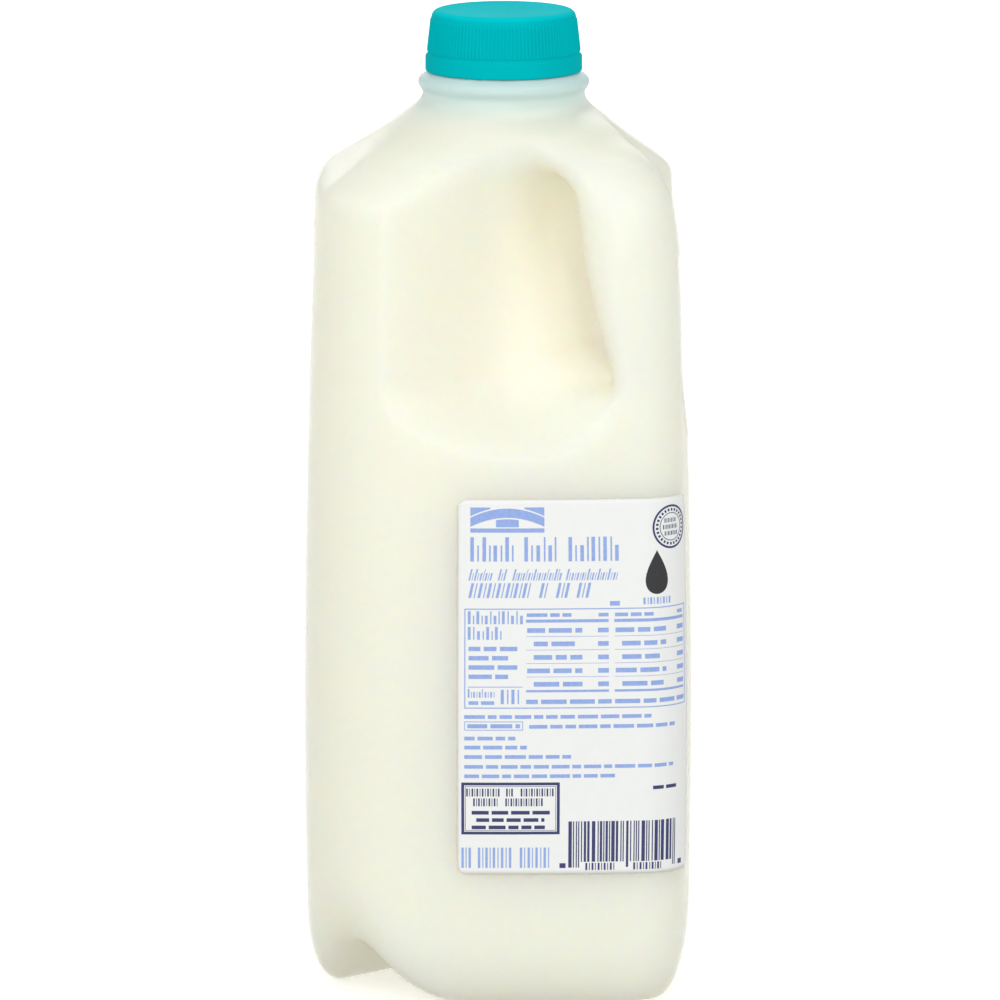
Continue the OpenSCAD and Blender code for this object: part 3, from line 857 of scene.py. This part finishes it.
class Print:
    """Collects flat shapes in label millimetres, each a strip of four-sided patches of one ink."""

    def __init__(self, seed):
        self.quads, self.inks, self.rng = [], [], np.random.default_rng(seed)

    def quad(self, points, ink):
        """A four-sided patch, split into cells no wider than 1.2 mm or taller than 5 mm, so that it bends with
        the body: the mean of its corners weighted by x and y."""
        a, b, c, d = np.asarray(points, float)
        n = max(int(math.ceil(max(abs(b - a)[0], abs(c - d)[0]) / 1.2)), 1)
        m = max(int(math.ceil(max(abs(d - a)[1], abs(c - b)[1]) / 5)), 1)
        x = np.linspace(0, 1, n + 1)[:, None, None]
        y = np.linspace(0, 1, m + 1)[None, :, None]
        g = (a * (1 - x) + b * x) * (1 - y) + (d * (1 - x) + c * x) * y
        self.quads += list(np.stack([g[:-1, :-1], g[1:, :-1], g[1:, 1:], g[:-1, 1:]], 2).reshape(-1, 4, 2))
        self.inks += [ink] * (n * m)

    def bar(self, u0, v0, u1, v1, ink):
        """A filled rectangle."""
        self.quad([(u0, v0), (u1, v0), (u1, v1), (u0, v1)], ink)

    def frame(self, u0, v0, u1, v1, t, ink):
        """A rectangular outline of thickness t."""
        self.bar(u0, v0, u1, v0 + t, ink)
        self.bar(u0, v1 - t, u1, v1, ink)
        self.bar(u0, v0 + t, u0 + t, v1 - t, ink)
        self.bar(u1 - t, v0 + t, u1, v1 - t, ink)

    def ring(self, u, v, r0, r1, ink, n=48, a0=0.0, a1=360.0):
        """A band between two radii."""
        a = np.radians(np.linspace(a0, a1, n + 1))
        c, d = np.cos(a), np.sin(a)
        for i in range(n):
            self.quad([(u + r0 * c[i], v + r0 * d[i]), (u + r1 * c[i], v + r1 * d[i]),
                       (u + r1 * c[i + 1], v + r1 * d[i + 1]), (u + r0 * c[i + 1], v + r0 * d[i + 1])], ink)

    def word(self, u0, v0, u1, h, ink, thick, lean=0.0, tall=0.3):
        """One mock word: upright strokes, thick and thin by turns, the first and a few others taller."""
        x, k = u0, 0
        while x + thick < u1 + 0.01:
            w = thick if k % 2 == 0 else thick * 0.45
            top = h if k == 0 or self.rng.random() < tall else h * 0.66
            self.quad([(x, v0), (x + w, v0), (x + w + lean * top, v0 + top), (x + lean * top, v0 + top)], ink)
            x += w + thick * self.rng.uniform(0.75, 1.05)
            k += 1

    def words(self, u0, v0, u1, h, ink):
        """A line of small mock words, each a plain bar."""
        u = u0
        while u < u1 - h * 0.6:
            w = min(h * self.rng.uniform(1.6, 4.2), u1 - u)
            self.bar(u, v0, u + w, v0 + h * 0.72, ink)
            u += w + h * 0.55


PALE, NAVY, BLACK = 0, 1, 2


def lay_out_print(width):
    """The label's plain shapes: a colour block, mock lettering, a ring, a ruled table, a framed box and bars."""
    p = Print(seed=7)
    # block with an arched band between a stripe and two corners
    p.bar(3.2, 90.4, 22.7, 91.5, PALE)
    for i in range(26):
        a, b = (3.2 + 19.5 * (i + k) / 26 for k in (0, 1))
        rise_a, rise_b = (2.4 * (1 - ((k - 12.95) / 9.75) ** 2) for k in (a, b))
        p.quad([(a, 91.9 + rise_a), (b, 91.9 + rise_b), (b, 94.3 + rise_b), (a, 94.3 + rise_a)], PALE)
        if i < 7 or i > 18:
            p.quad([(a, 94.7 + rise_a), (b, 94.7 + rise_b), (b, 97.0), (a, 97.0)], PALE)
        elif 8 < i < 17:
            p.quad([(a, 91.8), (b, 91.8), (b, 91.5 + rise_b), (a, 91.5 + rise_a)], PALE)
    # title and two lines under it
    for v, h, thick, lean, tall, spans in (
            (82.8, 6.4, 0.95, 0.0, 0.3, ((3.2, 15.3), (17.4, 27.4), (29.0, 43.2))),
            (77.8, 3.0, 0.42, 0.25, 0.3, ((2.7, 9.3), (10.4, 13.0), (14.2, 27.0), (28.2, 42.0))),
            (73.2, 3.9, 0.7, 0.22, 1.0, ((2.7, 19.4), (21.2, 24.0), (25.6, 29.2), (31.0, 34.6)))):
        for a, b in spans:
            p.word(a, v, b, h, PALE, thick, lean, tall)
    p.words(39.8, 71.0, 42.4, 1.7, PALE)
    # ring stamp, and a drop under it
    u, v = 57.0, 91.2
    p.ring(u, v, 5.2, 5.75, NAVY)
    p.ring(u, v, 3.5, 3.7, NAVY)
    for k in range(26):
        p.ring(u, v, 4.1, 4.8, NAVY, n=2, a0=k * 360 / 26, a1=k * 360 / 26 + 7.5)
    for k in (-1.7, 0.0, 1.7):
        w = math.sqrt(3.2 ** 2 - k * k) - 0.5
        p.word(u - w, v + k - 0.55, u + w, 1.1, NAVY, 0.32, tall=1.0)
    n = 32
    t = np.linspace(0, math.pi, n + 1)
    half = 4.3 * np.sin(t) * (0.5 - 0.5 * np.cos(t)) ** 0.62
    y = 85.4 - 11.6 * (0.5 - 0.5 * np.cos(t))
    for i in range(n):
        p.quad([(52.4 - half[i + 1], y[i + 1]), (52.4 + half[i + 1], y[i + 1]),
                (52.4 + half[i], y[i]), (52.4 - half[i], y[i])], BLACK)
    p.word(48.6, 71.2, 56.8, 1.8, PALE, 0.55, tall=1.0)
    # ruled table
    left, right = 1.7, width - 1.7
    p.frame(left, 44.0, right, 70.4, 0.28, PALE)
    mid0, mid1, mid2 = 17.8, 39.4, 40.9
    p.word(2.6, 66.3, 17.0, 3.4, PALE, 0.72)
    p.word(2.6, 62.2, 12.2, 3.4, PALE, 0.72)
    for k in range(4):
        p.words(2.8, 59.2 - 2.45 * k, 15.5 - 2.4 * (k % 2), 1.6, PALE)
    p.bar(2.6, 49.6, 16.9, 49.8, PALE)
    p.word(2.6, 46.9, 10.0, 2.3, PALE, 0.45)
    p.words(2.8, 45.0, 9.5, 1.3, PALE)
    p.word(11.2, 45.2, 16.8, 3.8, PALE, 0.8, tall=1.0)
    for a, b in ((mid0, mid1), (mid2, right - 1.0)):
        p.words(a + 0.2, 68.2, lerp(a, b, 0.55), 1.3, PALE)
        p.words(b - 2.6, 68.2, b, 1.3, PALE)
        p.bar(a, 66.7, b, 67.5, PALE)
        for k in range(5):
            y = 64.0 - 3.55 * k
            p.words(a + (0.3 if k in (0, 3) else 2.0), y, lerp(a, b, 0.68), 1.7, PALE)
            p.words(b - 2.8, y, b, 1.7, PALE)
            if k < 4:
                p.bar(a, y - 1.05, b, y - 0.93, PALE)
        p.bar(a, 48.3, b, 48.9, PALE)
    p.words(mid0, 45.2, right - 0.8, 1.6, PALE)
    # small lines under the table
    p.words(left, 41.3, 50.5, 1.35, PALE)
    p.frame(left, 38.2, 17.0, 40.6, 0.2, PALE)
    p.words(left + 0.8, 38.8, 16.2, 1.5, PALE)
    p.words(18.6, 38.7, 57.5, 1.35, PALE)
    for v, b, h in ((35.6, 15.0, 1.35), (33.2, 18.0, 1.35), (30.7, 29.5, 1.35), (28.1, 57.0, 1.3), (25.6, 41.0, 1.3)):
        p.words(left, v, b, h, PALE)
    # framed box
    p.frame(0.9, 10.6, 26.6, 24.4, 0.75, NAVY)
    p.frame(1.9, 11.6, 25.6, 23.4, 0.12, NAVY)
    for a, v, b in ((2.2, 20.7, 11.6), (12.6, 20.7, 15.0), (16.4, 20.7, 25.2), (4.0, 18.1, 10.8), (12.4, 18.1, 22.4)):
        p.word(a, v, b, 2.1, NAVY, 0.42, tall=1.0)
    for k, (a, b) in enumerate(((3.6, 24.0), (4.8, 22.6), (3.6, 23.6))):
        p.words(a, 15.9 - 1.95 * k, b, 1.35, NAVY)
    p.words(51.0, 22.2, 58.2, 1.3, NAVY)
    # large figure line, and upright bars
    for a, b in ((0.9, 4.0), (5.2, 15.0), (16.2, 24.8)):
        p.word(a, 1.7, b, 5.4, PALE, 0.62, tall=1.0)
    x, end = 28.9, 58.6
    while x < end:
        w = p.rng.choice([0.3, 0.3, 0.6, 0.9])
        long = x < 31.5 or x > end - 2.2 or 43.2 < x < 44.6
        p.bar(x, 1.7 if long else 3.2, min(x + w, end), 14.0, NAVY)
        x += w + p.rng.choice([0.3, 0.3, 0.45, 0.6])
    p.words(26.6, 1.6, 28.2, 1.8, NAVY)
    p.word(33.4, 1.0, 41.8, 1.9, NAVY, 0.5, tall=1.0)
    p.word(46.0, 1.0, 54.4, 1.9, NAVY, 0.5, tall=1.0)
    p.words(59.2, 1.6, 60.8, 1.8, NAVY)
    return p


class JUG_OT_print(Operator):
    """Prints the label's plain shapes in three inks"""
    bl_idname = "jug.print"
    bl_label = "Label print"

    def execute(self, context):
        s = jug_sizes(context.scene)
        c = context.scene.jug_colours
        width = label_frame(s)[1][-1]
        p = lay_out_print(width)
        q = np.stack(p.quads)
        flat = q.reshape(-1, 2)
        verts = on_label(s, flat[:, 0], flat[:, 1], 0.02 + s.label_t + s.ink_t)
        faces = np.arange(len(verts)).reshape(-1, 4)
        area = np.cross(q[:, 1] - q[:, 0], q[:, 2] - q[:, 0])
        faces = np.where((area < 0)[:, None], faces[:, ::-1], faces)
        inks = [printed_ink(f"{name}_flexographic_ink", colour)
                for name, colour in (("pale_blue", c.ink_pale), ("navy", c.ink_navy), ("black", c.ink_black))]
        obj = add_mesh("label_print", verts, faces, inks, p.inks, uv=flat / [width, s.label_h], smooth_shaded=False)
        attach(obj, "root")
        return {"FINISHED"}


# ---------------------------------------------------------------- stage

def aim(obj, at, target):
    """Puts an object at a point and turns its -Z towards another."""
    obj.location = at
    obj.rotation_euler = (Vector(target) - Vector(at)).to_track_quat("-Z", "Y").to_euler()


def soft_light(name, at, width, power):
    """A square area light aimed at the middle of the jug."""
    lamp = bpy.data.lights.new(name, "AREA")
    lamp.shape, lamp.size, lamp.size_y, lamp.energy = "RECTANGLE", width, width, power
    obj = bpy.data.objects.new(name, lamp)
    bpy.context.scene.collection.objects.link(obj)
    aim(obj, at, (0, 0, 0.13))
    return obj


class JugStage(PropertyGroup):
    azimuth: FloatProperty(name="Azimuth", description="Camera's bearing round the jug", subtype="ANGLE",
                           default=math.radians(45))
    elevation: FloatProperty(name="Elevation", description="Camera's height over the floor", subtype="ANGLE",
                             default=math.radians(9.5))
    distance: FloatProperty(name="Distance", description="Camera's distance from the jug", unit="LENGTH", default=3.7)
    view_w: FloatProperty(name="View", description="Width seen at the jug", unit="LENGTH", default=0.2636)
    look_z: FloatProperty(name="Aim height", description="Height the camera looks at", unit="LENGTH", default=0.1265)
    look_side: FloatProperty(name="Aim side", description="Offset of the aim to the right", unit="LENGTH",
                             default=0.0005)
    sky: FloatProperty(name="Surround", description="Strength of the white surround", default=0.665, min=0.0)
    key: FloatProperty(name="Key light", description="Power of the large soft light above and in front",
                       default=9.5, min=0.0)
    fill: FloatProperty(name="Fill light", description="Power of the soft light on the other side",
                        default=7.0, min=0.0)
    back: FloatProperty(name="Back light", description="Power of the weak soft light behind",
                        default=7.0, min=0.0)
    front: FloatProperty(name="Front light", description="Power of the soft light round the camera's line of sight",
                         default=14.5, min=0.0)


class JUG_OT_stage(Operator):
    """Sets up the white sweep, the soft lights and the camera"""
    bl_idname = "jug.stage"
    bl_label = "Stage"

    def execute(self, context):
        scene, g = context.scene, context.scene.jug_stage
        x = np.linspace(-SHEET, SHEET, 5)
        gx, gy = np.meshgrid(x, x, indexing="ij")
        floor = add_mesh("floor", np.stack([gx, gy, np.zeros_like(gx)], -1).reshape(-1, 3) / MM,
                         grid_faces(5, 5), [studio_floor(scene.jug_colours)])
        # sheet is lit to white, so its light is kept off the jug
        floor.visible_diffuse = False
        # pale wall all round, (r cos a, r sin a, z), which neither lights the jug nor takes light from it
        rim = turned(np.array([(SHEET, -0.1, 0), (SHEET, WALL_H, 0)]), 96)
        wall = add_mesh("backdrop", rim / MM, grid_faces(2, 96, closed=True)[:, ::-1], [floor.data.materials[0]])
        wall.visible_diffuse = wall.visible_glossy = wall.visible_transmission = wall.visible_shadow = False
        world = bpy.data.worlds.new("surround")
        scene.world = world
        world.use_nodes = True
        # white all round, dimmer from below where the jug would shade its own floor
        tree = world.node_tree
        way = node(tree, "ShaderNodeTexCoord")
        up = node(tree, "ShaderNodeSeparateXYZ", links=[("Vector", way, "Generated")])
        height = node(tree, "ShaderNodeMapRange", {"From Min": -1.0, "From Max": 1.0}, [("Value", up, "Z")])
        tone = stops(node(tree, "ShaderNodeValToRGB", links=[("Fac", height, "Result")]),
                     (0.0, (0.82, 0.79, 0.70)), (0.42, (1.0, 0.99, 0.97)), (0.5, (1.0, 1.0, 1.0)))
        back = tree.nodes["Background"]
        back.inputs["Strength"].default_value = g.sky
        tree.links.new(tone.outputs["Color"], back.inputs["Color"])
        a, e = g.azimuth, g.elevation
        side = np.array([math.cos(a), math.sin(a), 0.0])
        target = side * g.look_side + np.array([0, 0, g.look_z])
        eye = target + g.distance * np.array([math.sin(a) * math.cos(e), -math.cos(a) * math.cos(e), math.sin(e)])
        lens = bpy.data.cameras.new("camera")
        lens.sensor_width = 36.0
        lens.lens = 36.0 * g.distance / g.view_w
        lens.clip_end = 40.0
        camera = bpy.data.objects.new("camera", lens)
        scene.collection.objects.link(camera)
        aim(camera, eye, target)
        scene.camera = camera
        toward = np.array([math.sin(a), -math.cos(a), 0.0])
        for name, ahead, right, up, width in (("key", 1.3, -1.3, 1.3, 1.3), ("front", 2.6, 0, 0.75, 1.4),
                                              ("back", -2.4, 0, 0.9, 1.4), ("fill", 1.3, 1.2, 1.1, 1.1)):
            soft_light(name, tuple(toward * ahead + side * right + [0, 0, up]), width, getattr(g, name))
        scene.view_settings.view_transform = "Standard"
        scene.view_settings.look = "None"
        return {"FINISHED"}


class JUG_PT_panel(Panel):
    bl_idname = "JUG_PT_panel"
    bl_label = "Milk jug"
    bl_space_type = "VIEW_3D"
    bl_region_type = "UI"
    bl_category = "Jug"

    def draw(self, context):
        for title, group in (("Body", context.scene.jug_body), ("Grip", context.scene.jug_grip),
                             ("Neck and cap", context.scene.jug_neck), ("Label", context.scene.jug_label),
                             ("Colours", context.scene.jug_colours), ("Stage", context.scene.jug_stage)):
            box = self.layout.box()
            box.label(text=title)
            for key in group.__annotations__:
                box.prop(group, key)
        for op in OPERATORS:
            self.layout.operator(op.bl_idname)


OPERATORS = (JUG_OT_bottle, JUG_OT_milk, JUG_OT_cap, JUG_OT_label, JUG_OT_print, JUG_OT_stage)
GROUPS = {"jug_body": JugBodySizes, "jug_grip": JugGripSizes, "jug_neck": JugNeckSizes,
          "jug_label": JugLabelSizes, "jug_colours": JugColours, "jug_stage": JugStage}


def register():
    for cls in (*GROUPS.values(), *OPERATORS, JUG_PT_panel):
        bpy.utils.register_class(cls)
    for key, cls in GROUPS.items():
        setattr(bpy.types.Scene, key, PointerProperty(type=cls))


def unregister():
    for key in GROUPS:
        delattr(bpy.types.Scene, key)
    for cls in reversed((*GROUPS.values(), *OPERATORS, JUG_PT_panel)):
        bpy.utils.unregister_class(cls)


def main():
    register()
    bpy.ops.jug.bottle()
    bpy.ops.jug.milk()
    bpy.ops.jug.cap()
    bpy.ops.jug.label()
    bpy.ops.jug.print()
    bpy.ops.jug.stage()


if __name__ == "__main__":
    main()
